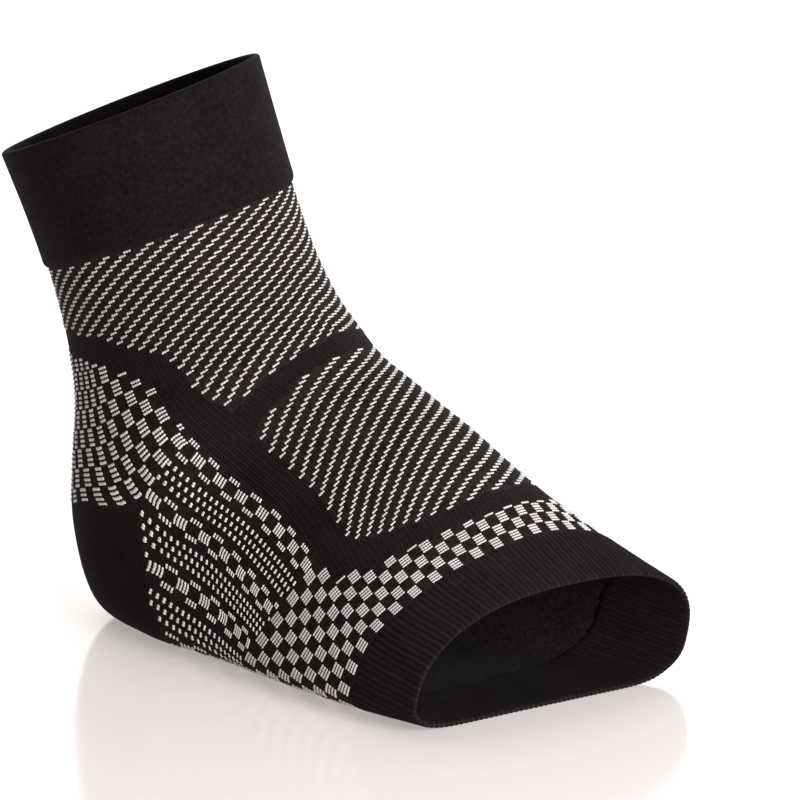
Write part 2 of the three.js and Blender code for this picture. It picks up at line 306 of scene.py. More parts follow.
def sections_at(along):
    """The columns of WORN_SECTIONS at each way along, by cubic curves that pass smoothly through its
    rows."""
    slopes = np.gradient(WORN_SECTIONS, stations, axis=0)
    first = np.clip(np.searchsorted(stations, along, side="right") - 1, 0, len(stations) - 2)
    span = (stations[first + 1] - stations[first])[:, None]
    t = (along - stations[first])[:, None] / span
    return (
        (1 + 2 * t) * (1 - t) ** 2 * WORN_SECTIONS[first]
        + t * (1 - t) ** 2 * span * slopes[first]
        + t * t * (3 - 2 * t) * WORN_SECTIONS[first + 1]
        + t * t * (t - 1) * span * slopes[first + 1]
    )


def section_points(sections, angle):
    """Points round each section in mm: a rounded oval from the front, by the outer side, to the back and
    round. Sines and cosines raised to a power square the oval up, ridge draws its top to the inner side,
    slant and roll tilt it, arch lifts the sole's inner side, and the sole is eased flat on the floor."""
    (front_x, front_z, back_x, back_z, outer, inner, outer_at, inner_at, ridge, top_round, sole_round,
     sway, slant, roll, arch, _) = (column[:, None] for column in sections.T)
    cosine = np.cos(angle)
    sine = np.sin(angle)
    widest_at = np.where(sine > 0, outer_at, inner_at)
    half_wide = np.where(sine > 0, outer, inner)
    power = 2 / np.where(cosine > 0, top_round, sole_round)
    reach = np.where(cosine > 0, 1 - widest_at, widest_at)
    rise = widest_at + reach * np.sign(cosine) * np.abs(cosine) ** power
    spread = half_wide * np.sign(sine) * np.abs(sine) ** power
    inward = np.clip(-spread / inner, 0, 1)
    outward = spread - ridge * rise ** 2
    x = back_x + (front_x - back_x) * rise - np.tan(np.radians(slant)) * outward
    y = sway - outward
    z = back_z + (front_z - back_z) * rise - np.tan(np.radians(roll)) * outward
    z = z + arch * inward ** ARCH_CURVE * (1 - rise) ** 2
    eased = (z + SOLE_EASE) ** 2 / (4 * SOLE_EASE)
    z = np.where(z > SOLE_EASE, z, np.where(z < -SOLE_EASE, 0.0, eased))
    return np.stack([x, y, z], axis=-1)


def outward_normals(points):
    """Unit normals of a grid of points that closes round its columns: the way round crossed with the way
    down, each taken between neighbours."""
    way_round = np.roll(points, -1, axis=1) - np.roll(points, 1, axis=1)
    way_down = np.gradient(points, axis=0)
    normals = np.cross(way_round, way_down)
    return normals / np.linalg.norm(normals, axis=-1, keepdims=True)


def worn_surface():
    """The sleeve's outer surface in mm as grids of points and normals: rows go along it from the top
    opening to the toe opening, columns round it. Each half of a section is shared out by its length, and
    pull then draws the wales of knit forward or back along it. Two swells lift the cloth at the sides."""
    along = np.arange(0.0, SLEEVE_LONG + STEP_ALONG, STEP_ALONG)
    sections = sections_at(np.minimum(along, SLEEVE_LONG))
    fine_angle = np.linspace(0.0, 2 * math.pi, 2 * FINE_ANGLES - 1)
    fine_points = section_points(sections, np.tile(fine_angle, (len(along), 1)))
    lengths = np.linalg.norm(np.diff(fine_points, axis=1), axis=-1)
    run = np.concatenate([np.zeros((len(along), 1)), np.cumsum(lengths, axis=1)], axis=1)
    half = run[:, FINE_ANGLES - 1:FINE_ANGLES]
    whole = run[:, -1:]
    share = np.where(run <= half, 0.5 * run / half, 0.5 + 0.5 * (run - half) / (whole - half))
    turn = np.arange(WALES * STEPS_PER_WALE) / (WALES * STEPS_PER_WALE)
    pull = sections[:, -1:]
    drawn = turn - pull * (np.sin(2 * math.pi * turn) + PULL_TWICE * np.sin(4 * math.pi * turn))
    # The shares of each row are set apart from the next row's, so that one look-up serves all rows.
    apart = ROWS_APART * np.arange(len(along))[:, None]
    many_angles = np.tile(fine_angle, len(along))
    angle = np.interp((drawn + apart).ravel(), (share + apart).ravel(), many_angles).reshape(drawn.shape)
    points = section_points(sections, angle)
    normals = outward_normals(points)
    for middle, height, radius in ANKLE_SWELLS:
        away = np.sum((points - np.array(middle)) ** 2, axis=-1) / radius ** 2
        points = points + normals * (height * np.exp(-away))[..., None]
    return points, outward_normals(points)


sleeve_points, sleeve_normals = worn_surface()


def on_sleeve(wale, along, proud):
    """Place in metres and normal of a point of the knit: the worn surface at that wale and way along in
    mm, read between the grid's four nearest points, and moved out along the normal by proud in mm."""
    column = np.mod(wale, WALES) * STEPS_PER_WALE
    row = np.clip(along, 0.0, SLEEVE_LONG) / STEP_ALONG
    left = np.floor(column).astype(int)
    top = np.minimum(np.floor(row).astype(int), len(sleeve_points) - 2)
    across = (column - left)[..., None]
    down = (row - top)[..., None]
    left = left % (WALES * STEPS_PER_WALE)
    right = (left + 1) % (WALES * STEPS_PER_WALE)

    def between(grid):
        upper = grid[top, left] * (1 - across) + grid[top, right] * across
        lower = grid[top + 1, left] * (1 - across) + grid[top + 1, right] * across
        return upper * (1 - down) + lower * down

    normal = between(sleeve_normals)
    return (between(sleeve_points) + normal * np.asarray(proud)[..., None]) * MM, normal


def swept_band(name, wale_lines, along, proud, material):
    """A closed band round the sleeve: a closed profile is carried round the wale lines. along and proud
    give the profile's ways along and heights in mm, as grids of profile points by wale lines."""
    points, _ = on_sleeve(np.tile(wale_lines, (along.shape[0], 1)), along, proud)
    rows, columns = along.shape
    index = np.arange(rows * columns).reshape(rows, columns)
    below = np.roll(index, -1, axis=0)
    faces = np.stack([index, below, np.roll(below, -1, axis=1), np.roll(index, -1, axis=1)], axis=-1)
    wale_step = WALES / columns
    start = np.tile(wale_lines, (rows, 1))
    along_below = np.roll(along, -1, axis=0)
    uv = np.stack([
        np.stack([start, along], axis=-1),
        np.stack([start, along_below], axis=-1),
        np.stack([start + wale_step, np.roll(along_below, -1, axis=1)], axis=-1),
        np.stack([start + wale_step, np.roll(along, -1, axis=1)], axis=-1),
    ], axis=2)
    return mesh_piece(name, points.reshape(-1, 3), [faces.reshape(-1, 4)], material, uv=uv.reshape(-1, 2))


BLACK = (0.0030, 0.0020, 0.0021, 1.0)
# The lighter end of the knit's colour: its paler tone and blotches, and the painted light on its ridges.
BLACK_TONE_AND_RIDGE_LIGHT = (0.0205, 0.0147, 0.0152, 1.0)
YARN_BEHIND = (0.24, 0.20, 0.195, 1.0)
# How strongly each feature of the dark knit shows in its height, colour, bump and roughness.
LOOP_LEAN = 0.3
LOOP_SHARE = 0.35
SECOND_RIDGE = 0.12
MEAN_HEIGHT = 0.43
NOISE_MIDDLE = 0.5
CLOUD_NOISE = {"Scale": 90.0, "Detail": 3.0}
BLOTCH_NOISE = {"Scale": 700.0, "Detail": 2.0}
FIBRE_NOISE = {"Scale": 2600.0, "Detail": 2.0}
CLOUD_TINT = 0.5
FIBRE_TINT = 0.3
GROOVE_TOP = 0.34
GROOVE_SHARP = 2.2
PATCH_FROM = 0.22
PATCH_SHARP = 3
KNIT_BUMP = 0.7
FIBRE_BUMP = 0.25
CLOUD_ROUGHNESS = 0.1
KNIT_SHEEN = 0.012
KNIT_SHEEN_ROUGHNESS = 0.4
KNIT_SPECULAR = 0.06


def dark_knit(name, stitch_wide, stitch_tall, depth, pale, lines, mottle, roughness, through=0.0):
    """Near-black knit, drawn in the map's wales and millimetres along. Each column of stitches is a round
    ridge, its loops lean up to the middle of the ridge, and every second ridge stands higher. The ridges
    give the bump and take the lighter colour: pale is how much of it there is all over, lines how much
    more the ridges have than the grooves, as painted light on the ridges and painted shade in the
    grooves, and mottle sets a fine blotchiness. through is how much of the white yarn that crosses behind
    the cloth shows in the grooves, as grey flecks."""
    material, shade = new_material(name)
    place = shade.node("UVMap", {"uv_map": "knit"})
    column = shade.node("SeparateXYZ", sockets={0: place}, out="X") * (1 / stitch_wide)
    course = shade.node("SeparateXYZ", sockets={0: place}, out="Y") * (1 / stitch_tall)
    from_middle = (2 * column.fraction() - 1).size()
    ridge = 1 - from_middle * from_middle
    loop = (course - LOOP_LEAN * from_middle).wave()
    # A wave of two columns, highest at the middle of every second one.
    second = (0.5 * column - 0.25).wave()
    height = ridge * (1 - LOOP_SHARE + LOOP_SHARE * loop) + SECOND_RIDGE * second
    where = shade.node("TexCoord", out="Object")
    cloud = shade.node("TexNoise", sockets={"Vector": where, **CLOUD_NOISE}) - NOISE_MIDDLE
    blotch = shade.node("TexNoise", sockets={"Vector": where, **BLOTCH_NOISE})
    fibre = shade.node("TexNoise", sockets={"Vector": where, **FIBRE_NOISE})
    uneven = mottle * (blotch - NOISE_MIDDLE) + CLOUD_TINT * cloud + FIBRE_TINT * (fibre - NOISE_MIDDLE)
    # The knit's own tone and blotches, and by lines a painted highlight on the ridges and painted shade
    # in the grooves.
    tone_and_ridge_light = (pale + lines * (height - MEAN_HEIGHT) + uneven).clamped()
    tint = tone_and_ridge_light.blend(BLACK, BLACK_TONE_AND_RIDGE_LIGHT)
    if through > 0:
        groove = (GROOVE_SHARP * (GROOVE_TOP - height)).clamped()
        patch = (PATCH_SHARP * (blotch - PATCH_FROM)).clamped()
        fleck = through * groove * patch
        tint = fleck.blend(tint, YARN_BEHIND)
    bump = shade.node("Bump", sockets={
        "Strength": KNIT_BUMP,
        "Distance": depth * MM,
        "Height": height + FIBRE_BUMP * fibre,
    })
    finish_material(shade, {
        "Base Color": tint,
        "Roughness": roughness + CLOUD_ROUGHNESS * cloud,
        "Normal": bump,
        "Sheen Weight": KNIT_SHEEN,
        "Sheen Roughness": KNIT_SHEEN_ROUGHNESS,
        "Specular IOR Level": KNIT_SPECULAR,
    })
    return material


# The cuff's profile: the step up from the leg panel, the outer face, the fold and the inner face.
step_turn = np.linspace(0.0, math.pi / 2, CUFF_STEP_POINTS)
fold_turn = np.linspace(0.0, math.pi, CUFF_FOLD_POINTS)
fold_middle = (CUFF_PROUD - KNIT_WALL) / 2
fold_half = (CUFF_PROUD + KNIT_WALL) / 2
cuff_outer = np.linspace(CUFF_HEIGHT - CUFF_STEP, CUFF_FOLD, CUFF_OUTER_POINTS)[1:-1]
cuff_inner = np.linspace(CUFF_FOLD, CUFF_HEIGHT, CUFF_INNER_POINTS)[1:]
cuff_along = np.concatenate([
    CUFF_HEIGHT - CUFF_STEP + CUFF_STEP * np.cos(step_turn),
    cuff_outer,
    CUFF_FOLD - CUFF_FOLD * np.sin(fold_turn),
    cuff_inner,
])
cuff_proud = np.concatenate([
    CUFF_STEP_DIP + (CUFF_PROUD - CUFF_STEP_DIP) * np.sin(step_turn),
    np.full(len(cuff_outer), CUFF_PROUD),
    fold_middle + fold_half * np.cos(fold_turn),
    np.full(len(cuff_inner), -KNIT_WALL),
])
cuff_knit = dark_knit(
    "cuff_knit",
    stitch_wide=1.0,
    stitch_tall=0.8,
    depth=0.16,
    pale=0.34,
    lines=0.12,
    mottle=0.9,
    roughness=0.86,
)
top_cuff = swept_band(
    "cuff_cloth",
    np.arange(WALES).astype(float),
    np.repeat(cuff_along[:, None], WALES, axis=1),
    np.repeat(cuff_proud[:, None], WALES, axis=1),
    cuff_knit,
)
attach(top_cuff, "root")
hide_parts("top_cuff")

# Leg panel
# The thin knit tube below the cuff, near-black with off-white yarn laid in as slanting stripes.
# The white yarn comes to the face for three stitches in eight and moves on by two in the next course,
# so each stripe climbs round the tube in short raised dashes.

ROW_TALL = 1.0
# The edge of a zone is a list of pairs: wales from the front, and way along in mm.
LEG_END = np.array([
    [0, 98], [8, 98.5], [22, 100], [36, 103], [53, 108.5], [58.5, 110.5], [59.5, 104], [59.6, 86],
    [60.5, 80.5], [64, 77.5], [72, 73], [82, 69.2], [92, 66.5], [110, 63], [152, 61],
])


def from_front(wale):
    """Wales between a wale and the front of the sleeve, by the shorter way round."""
    return np.abs(np.mod(wale + WALES / 2, WALES) - WALES / 2)


def edge_at(edge, wale):
    """Way along in mm of an edge that is given for the outer half and mirrored for the inner half."""
    return np.interp(from_front(wale), edge[:, 0], edge[:, 1])


cell_wale, cell_along = np.meshgrid(np.arange(WALES) + 0.5, np.arange(0.5, SLEEVE_LONG, ROW_TALL))
below_cuff = cell_along > CUFF_HEIGHT - ROW_TALL
in_leg = below_cuff & (cell_along < edge_at(LEG_END, cell_wale))


def knit_wall(name, cells, material):
    """The cloth of one zone: the cells of a grid of wales by rows of 1 mm that lie in the zone, as a
    closed wall with an outer face, an inner face one wall thickness below, and a rim round the edge."""
    row, wale = np.nonzero(cells)
    lines = cells.shape[0] + 1
    corner_row = np.stack([row, row, row + 1, row + 1], axis=-1)
    corner_wale = np.stack([wale, wale + 1, wale + 1, wale], axis=-1)
    corner = corner_row * WALES + corner_wale % WALES
    used, quads = np.unique(corner, return_inverse=True)
    quads = quads.reshape(-1, 4)
    at_wale = (used % WALES).astype(float)
    at_along = (used // WALES) * ROW_TALL
    outer, normal = on_sleeve(at_wale, at_along, np.zeros(len(used)))
    inner, _ = on_sleeve(at_wale, at_along, np.full(len(used), -KNIT_WALL))
    starts = quads.ravel()
    ends = np.roll(quads, -1, axis=1).ravel()
    # A side that only one cell has is on the zone's edge and gets a rim.
    keys = np.minimum(starts, ends) * (lines * WALES) + np.maximum(starts, ends)
    _, first, count = np.unique(keys, return_index=True, return_counts=True)
    rim = first[count == 1]
    rim_start = starts[rim]
    rim_end = ends[rim]
    rim_quads = np.stack([rim_end, rim_start, rim_start + len(used), rim_end + len(used)], axis=-1)
    points = np.concatenate([outer, inner])
    directions = np.concatenate([normal, -normal])
    corner_uv = np.stack([corner_wale, corner_row * ROW_TALL], axis=-1).astype(float)
    flat_uv = corner_uv.reshape(-1, 2)
    rim_uv = np.stack([flat_uv[rim], flat_uv[rim], flat_uv[rim], flat_uv[rim]], axis=1)
    uv = np.concatenate([flat_uv, corner_uv[:, ::-1].reshape(-1, 2), rim_uv.reshape(-1, 2)])
    faces = np.concatenate([quads, quads[:, ::-1] + len(used), rim_quads])
    return mesh_piece(name, points, [faces], material, normals=directions, uv=uv)


striped_knit = dark_knit(
    "striped_knit",
    stitch_wide=1.0,
    stitch_tall=1.03,
    depth=0.22,
    pale=0.36,
    lines=0.8,
    mottle=0.9,
    roughness=0.88,
    through=0.24,
)
leg_cloth = knit_wall("leg_cloth", in_leg, striped_knit)
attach(leg_cloth, "root")
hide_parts("leg_panel")


def stitch_runs(white):
    """Course, first column and number of stitches of each unbroken run of white in a chart of courses by
    columns: a run starts where white comes and ends where it goes."""
    change = np.diff(np.pad(white.astype(int), ((0, 0), (1, 1))), axis=1)
    course, first = np.nonzero(change == 1)
    _, last = np.nonzero(change == -1)
    return course, first, last - first


def runs_within(runs, place, inside):
    """The runs whose middle lies where inside(wale, along) is true. place(column, course) gives both."""
    course, first, count = runs
    keep = inside(*place(first + count / 2, course))
    return course[keep], first[keep], count[keep]


YARN_SIDES = 6
YARN_RINGS = 3
YARN_HALF_HIGH = 0.34
YARN_LIFT = 0.10
YARN_END_GAP = 0.13
YARN_END_ROUND = 0.4
YARN_END_LEAST = 0.08
YARN_THINNING = 0.26
YARN_UNEVEN = 0.08
CLIMB_CURVE = 1.5


def raised_yarn(name, runs, place, half_wide, lean, climb, material, seed, toward_toes=True):
    """White yarn lying on the cloth, one rod for each run. A rod follows its course, and its oval section
    swells in each stitch, thins between stitches and is rounded off at both ends. half_wide and climb are
    shares of a course: lean makes the last end fatter and the first thinner, and that thin end climbs
    towards the course above. place gives the wale and the way along of a chart's column and course. A
    chart whose courses are counted back from the toe band turns its sections the other way round, so that
    the faces still look outward."""
    course, first, count = runs
    shuffle = np.random.default_rng(seed)
    points = []
    quads = []
    caps = []
    tones = []
    made = 0
    for stitches in np.unique(count):
        mine = count == stitches
        rings = YARN_RINGS * stitches + 1
        t = np.linspace(0.0, stitches, rings)
        squeezed = YARN_END_GAP + t * (1 - 2 * YARN_END_GAP / stitches)
        column = first[mine][:, None] + squeezed[None, :]
        row = course[mine][:, None] - climb * (1 - t / stitches) ** CLIMB_CURVE
        to_end = np.minimum(t, stitches - t)
        end_round = np.sqrt(1 - (1 - np.clip(to_end / YARN_END_ROUND, YARN_END_LEAST, 1)) ** 2)
        swell = 1 - YARN_THINNING + YARN_THINNING * np.cos(2 * math.pi * (t - 0.5))
        leaning = 1 + lean * (2 * t / stitches - 1)
        radius = (end_round * swell * leaning)[None, :, None]
        radius = radius * shuffle.uniform(1 - YARN_UNEVEN, 1 + YARN_UNEVEN, (mine.sum(), 1, 1))
        turn = np.arange(YARN_SIDES) * 2 * math.pi / YARN_SIDES
        turn = -turn if toward_toes else turn
        ring_row = row[..., None] + half_wide * radius * np.cos(turn)
        ring_wale, ring_along = place(np.repeat(column[..., None], YARN_SIDES, axis=-1), ring_row)
        proud = YARN_LIFT + YARN_HALF_HIGH * radius * np.sin(turn)
        points.append(on_sleeve(ring_wale, ring_along, proud)[0].reshape(-1, 3))
        index = made + np.arange(mine.sum() * rings * YARN_SIDES).reshape(-1, rings, YARN_SIDES)
        beside = np.roll(index, -1, axis=2)
        quads.append(np.stack([
            index[:, :-1],
            index[:, 1:],
            beside[:, 1:],
            beside[:, :-1],
        ], axis=-1).reshape(-1, 4))
        caps.append(index[:, 0])
        caps.append(index[:, -1, ::-1])
        tones.append(np.repeat(shuffle.uniform(0.0, 1.0, mine.sum()), rings * YARN_SIDES))
        made = made + mine.sum() * rings * YARN_SIDES
    faces = [np.concatenate(quads), np.concatenate(caps)]
    piece = mesh_piece(name, np.concatenate(points), faces, material)
    tone = piece.data.attributes.new("tone", "FLOAT", "POINT")
    tone.data.foreach_set("value", np.concatenate(tones).astype(np.float32))
    return piece


YARN_FIBRE_NOISE = {"Scale": 3800.0, "Detail": 3.0}
TONE_SHARE = 0.45
FIBRE_SHARE = 0.9
DULL_FROM = 0.35
YARN_BUMP = 0.6
YARN_BUMP_DEEP = 0.12
YARN_ROUGHNESS = 0.8
FIBRE_ROUGHNESS = 0.15
YARN_SHEEN = 0.2
YARN_SPECULAR = 0.3


def white_yarn(name, pale, dull):
    """Off-white spun yarn: each run has a tone of its own between pale and dull, and fine fibres vary the
    colour, the bump and the roughness."""
    material, shade = new_material(name)
    tone = shade.node("Attribute", {"attribute_name": "tone"}, out="Fac")
    where = shade.node("TexCoord", out="Object")
    fibre = shade.node("TexNoise", sockets={"Vector": where, **YARN_FIBRE_NOISE})
    # How dull the yarn is, from each run's random tone and the fine fibres.
    dullness = (tone * TONE_SHARE + fibre * FIBRE_SHARE - DULL_FROM).clamped()
    bump = shade.node("Bump", sockets={
        "Strength": YARN_BUMP,
        "Distance": YARN_BUMP_DEEP * MM,
        "Height": fibre,
    })
    finish_material(shade, {
        "Base Color": dullness.blend(pale, dull),
        "Roughness": YARN_ROUGHNESS + FIBRE_ROUGHNESS * fibre,
        "Normal": bump,
        "Sheen Weight": YARN_SHEEN,
        "Specular IOR Level": YARN_SPECULAR,
    })
    return material


STRIPE_PALE = (0.69, 0.640, 0.617, 1.0)
STRIPE_DULL = (0.44, 0.394, 0.376, 1.0)
LEG_STITCHES = 240
LEG_COURSES = 70
LEG_CLEAR = 0.4
STRIPE_REPEAT = 8
STRIPE_DASH = 3
STRIPE_SHIFT = 2
# For some courses: way along the front in mm, fall in mm for each wale from the front, and turn in wales.
LEG_LINES = np.array([
    [0, 40.9, 0, 0], [12, 50.8, 0.041, 1.7], [22, 59.3, 0.075, 3.4], [30, 66.7, 0.102, 5.2],
    [38, 75, 0.13, 8], [45, 82.9, 0.153, 11.2], [58, 98.3, 0.197, 17.7], [70, 112.5, 0.238, 24],
])
# Wales from the front, and how many of them count for the fall.
LEG_FALL = np.array([[0, 0], [85, 85], [110, 100], [152, 108]])


def look_up(table, value, column=1):
    """A column of a table at a value of its first column, by straight lines between the rows."""
    return np.interp(value, table[:, 0], table[:, column])


def leg_place(column, course):
    """Wale and way along of a stitch of the leg chart. Columns are evenly spaced round the tube and turn
    on the way down. Courses are level at the cuff and fall away from the front more and more below it."""
    line = course + 0.5
    wale = (column - LEG_STITCHES / 2) * WALES / LEG_STITCHES + look_up(LEG_LINES, line, 3)
    fall = look_up(LEG_LINES, line, 2) * look_up(LEG_FALL, from_front(wale))
    return wale, look_up(LEG_LINES, line) + fall


def on_leg(wale, along):
    """True where a stitch clears the panel's lower edge."""
    return along < edge_at(LEG_END, wale) - LEG_CLEAR


def striped_chart(courses, stitches):
    """A chart with dashes of white in every course, each course's moved on from those of the last."""
    course, column = np.meshgrid(np.arange(courses), np.arange(stitches), indexing="ij")
    return np.mod(column - STRIPE_SHIFT * course, STRIPE_REPEAT) < STRIPE_DASH


stripe_yarn = white_yarn("stripe_yarn", STRIPE_PALE, STRIPE_DULL)
leg_runs = runs_within(stitch_runs(striped_chart(LEG_COURSES, LEG_STITCHES)), leg_place, on_leg)
leg_yarn = raised_yarn(
    "leg_yarn",
    leg_runs,
    leg_place,
    half_wide=0.44,
    lean=0.2,
    climb=0.06,
    material=stripe_yarn,
    seed=11,
)
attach(leg_yarn, "root")

# Instep panel
# The same striped knit as a rounded inset on the sleeve's upper side, over and below the bend.
# It is knitted in one with the support band all round it, and its courses bow forward over the ridge.

# A way along that lies past the sleeve's end, for the wales that a zone doesn't reach.
PAST_END = 262
INSTEP_TOP = np.array([
    [0, 107], [16, 107.5], [32, 109.5], [50, 116.5], [56, 119.5], [60, 124], [61, 130.5],
    [61.1, PAST_END], [152, PAST_END],
])
INSTEP_END = np.array([
    [0, 210.7], [6, 210.6], [24, 209.5], [36.5, 206], [48.5, 200], [57, 194.5], [58.5, 190], [61, 160],
    [61.1, 0], [152, 0],
])
INSTEP_STITCHES = 136
INSTEP_COURSES = 72
INSTEP_WIDE = 1.5
INSTEP_NARROWING = 0.0058
INSTEP_TURN = 15.6
INSTEP_STRAIGHT = 39
INSTEP_BOW = 0.0037
INSTEP_BOW_FROM = 35
INSTEP_BOW_WIDE = 60
# For some courses: way along in mm, and how far the columns are drawn together.
INSTEP_LINES = np.array([
    [0, 96, 1], [27, 140.8, 1], [41.5, 165, 0.95], [55, 187, 0.87], [72, 213.5, 0.78],
])
YARN_CLEAR = 0.5

in_instep = (cell_along > edge_at(INSTEP_TOP, cell_wale)) & (cell_along < edge_at(INSTEP_END, cell_wale))
instep_cloth = knit_wall("instep_cloth", in_instep, striped_knit)
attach(instep_cloth, "root")
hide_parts("instep_panel")


def instep_place(column, course):
    """Wale and way along of a stitch of the instep chart. Its columns are widest along the ridge, draw
    together towards the toe opening and turn round the bend. Its courses bow forward over the ridge."""
    line = course + 0.5
    from_ridge = column - INSTEP_STITCHES / 2
    turn = INSTEP_TURN * np.clip(1 - line / INSTEP_STRAIGHT, 0, 1) ** 2
    wide = INSTEP_WIDE - INSTEP_NARROWING * np.abs(from_ridge)
    wale = from_ridge * wide * look_up(INSTEP_LINES, line, 2) - turn
    away = wale - INSTEP_BOW_FROM
    bow = INSTEP_BOW * away ** 2 / (1 + (away / INSTEP_BOW_WIDE) ** 2)
    return wale, look_up(INSTEP_LINES, line) + bow


def on_instep(wale, along):
    """True where a stitch clears the panel's edge on both sides."""
    below_top = along > edge_at(INSTEP_TOP, wale) + YARN_CLEAR
    return below_top & (along < edge_at(INSTEP_END, wale) - YARN_CLEAR)


instep_chart = striped_chart(INSTEP_COURSES, INSTEP_STITCHES)
instep_runs = runs_within(stitch_runs(instep_chart), instep_place, on_instep)
instep_yarn = raised_yarn(
    "instep_yarn",
    instep_runs,
    instep_place,
    half_wide=0.40,
    lean=0.2,
    climb=0.06,
    material=stripe_yarn,
    seed=12,
)
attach(instep_yarn, "root")

# Heel cup
# A plain near-black pocket at the back of the sleeve, of the same nylon and elastane.
# It is knitted in one with the check panel, which it meets all round.

HEEL_TOP = np.array([
    [0, PAST_END], [99.9, PAST_END], [100, 123], [113, 115.5], [126, 111], [152, 109],
])
HEEL_END = np.array([
    [0, 0], [99.9, 0], [100, 123], [105, 133.5], [111.5, 142.3], [117, 149.8], [122.5, 158.5],
    [136, 164.5], [152, 166.5],
])

in_heel = (cell_along > edge_at(HEEL_TOP, cell_wale)) & (cell_along < edge_at(HEEL_END, cell_wale))
heel_knit = dark_knit(
    "heel_knit",
    stitch_wide=1.0,
    stitch_tall=1.1,
    depth=0.2,
    pale=0.38,
    lines=0.12,
    mottle=0.4,
    roughness=0.92,
)
heel_cloth = knit_wall("heel_cloth", in_heel, heel_knit)
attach(heel_cloth, "root")
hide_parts("heel_cup")

# Check panel
# The knit over the back of the ankle part, both sides and the sole, as far as the toe band.
# White yarn comes to the face in blocks of four stitches by four courses, checked at the back and next
# to the toe band, and along the sides in ladders of blocks with rows of dots between them.

CHECK_TOP = np.array([
    [0, 218.5], [12, 218.5], [27, 217], [36, 215.5], [51, 210.5], [59, 208], [63, 204], [69.5, 201],
    [71, 195.5], [72.5, 150], [72.6, 105], [73.5, 97], [73.6, 90], [75, 85], [83, 79], [92.5, 75],
    [106, 71], [126, 68], [152, 67],
])
TOE_TOP = np.array([
    [0, 235], [9, 235.5], [25, 236.5], [57, 235], [72, 233], [92, 235.5], [120, 236.5], [152, 237],
])

below_check = cell_along > edge_at(CHECK_TOP, cell_wale)
in_check = below_check & ~in_heel & (cell_along < edge_at(TOE_TOP, cell_wale) + ROW_TALL)
checked_knit = dark_knit(
    "checked_knit",
    stitch_wide=1.0,
    stitch_tall=1.03,
    depth=0.22,
    pale=0.34,
    lines=0.8,
    mottle=0.9,
    roughness=0.88,
    through=0.14,
)
check_cloth = knit_wall("check_cloth", in_check, checked_knit)
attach(check_cloth, "root")
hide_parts("check_panel")

CHECK_PALE = (0.80, 0.742, 0.715, 1.0)
CHECK_DULL = (0.53, 0.475, 0.453, 1.0)
HEEL_CLEAR = 0.8
BLOCK = 4
PANEL_STITCHES = 184
PANEL_ROWS = 23
LADDER_WIDE = 8
LADDER_EDGE = 2
STRIP_REPEAT = 20
DOT_STARTS = (10, 13, 16)
DOT_WIDE = 2
SIDE_ROW = 8.5
BALL_STITCHES = 288
BALL_SHIFT = -1.9
BALL_COURSE = 1.27
BALL_ROWS = 9

# The panel's stitches are counted from its outer edge round the back, or under the sole, to its inner
# edge, and its block rows down from the top. Three marked stitches have their wales at some block rows.
FIRST_MARK = 4
SECOND_MARK = 24
THIRD_MARK = 44
FIRST_WALES = np.array([[0, 72.5], [8, 76], [12, 76.5], [24, 75]])
SECOND_WALES = np.array([
    [1, 98], [3, 97], [5, 95], [8, 94.4], [10, 92.9], [12, 91.5], [14, 91.2], [18, 92.5], [24, 93.5],
])
THIRD_WALES = np.array([
    [1, 110], [4, 111], [6, 109.6], [8, 110], [10, 106.2], [14, 105.2], [18, 105.7], [24, 106.2],
])
# Way along of the first mark at some block rows of the side, how far the other stitches drop from it,
# and what share of that drop each block row has.
SIDE_LINES = np.array([
    [8, 110], [10, 120], [12, 130.4], [14, 140.8], [16, 152.5], [18, 164], [20, 174.6], [22, 184.8],
    [24, 195],
])
SIDE_DROP = np.array([[0, -1.8], [4, 0], [24, 9], [44, 23], [60, 32], [92, 38]])
SIDE_DROP_SHARE = np.array([
    [8, 0.77], [10, 0.95], [12, 1], [14, 1], [16, 0.93], [18, 0.79], [20, 0.64], [22, 0.56], [24, 0.5],
])
# The courses at the back are level at the top, and each stitch has a share in their stretch below it.
ANKLE_FIRST = 66.7
ANKLE_ROW = 5.42
ANKLE_STRETCH = 0.11
ANKLE_HUMP = np.array([
    [4, 0], [12, 0.35], [20, 0.78], [28, 1], [36, 0.9], [44, 0.54], [52, 0.2], [60, 0], [92, 0],
])


def block_row(course):
    """Block row of a course, a whole number at the middle of each block."""
    return (course - (BLOCK - 1) / 2) / BLOCK


def panel_wale(column, row):
    """Wale of a column at a block row, evenly spaced between the three marks and the middle of the panel,
    and the column's number from the nearer edge."""
    middle = PANEL_STITCHES / 2
    from_edge = np.where(column < middle, column, PANEL_STITCHES - column)
    first = look_up(FIRST_WALES, row)
    second = look_up(SECOND_WALES, row)
    third = look_up(THIRD_WALES, row)
    near = first + (second - first) * (from_edge - FIRST_MARK) / (SECOND_MARK - FIRST_MARK)
    far = second + (third - second) * (from_edge - SECOND_MARK) / (THIRD_MARK - SECOND_MARK)
    last = third + (WALES / 2 - third) * (from_edge - THIRD_MARK) / (middle - THIRD_MARK)
    wale = np.where(from_edge < SECOND_MARK, near, np.where(from_edge < THIRD_MARK, far, last))
    return np.where(column < middle, wale, WALES - wale), from_edge


def ankle_place(column, course):
    """Wale and way along at the back: level courses that are drawn down more and more below the top."""
    row = block_row(course)
    wale, from_edge = panel_wale(column, row)
    stretch = ANKLE_STRETCH * row ** 2 * look_up(ANKLE_HUMP, from_edge)
    return wale, ANKLE_FIRST + ANKLE_ROW * row + stretch


def side_place(column, course):
    """Wale and way along on the side and sole: courses that slant forward from the edge to the sole."""
    row = block_row(course)
    wale, from_edge = panel_wale(column, row)
    drop = look_up(SIDE_DROP, from_edge) * look_up(SIDE_DROP_SHARE, row)
    return wale, look_up(SIDE_LINES, row) + drop


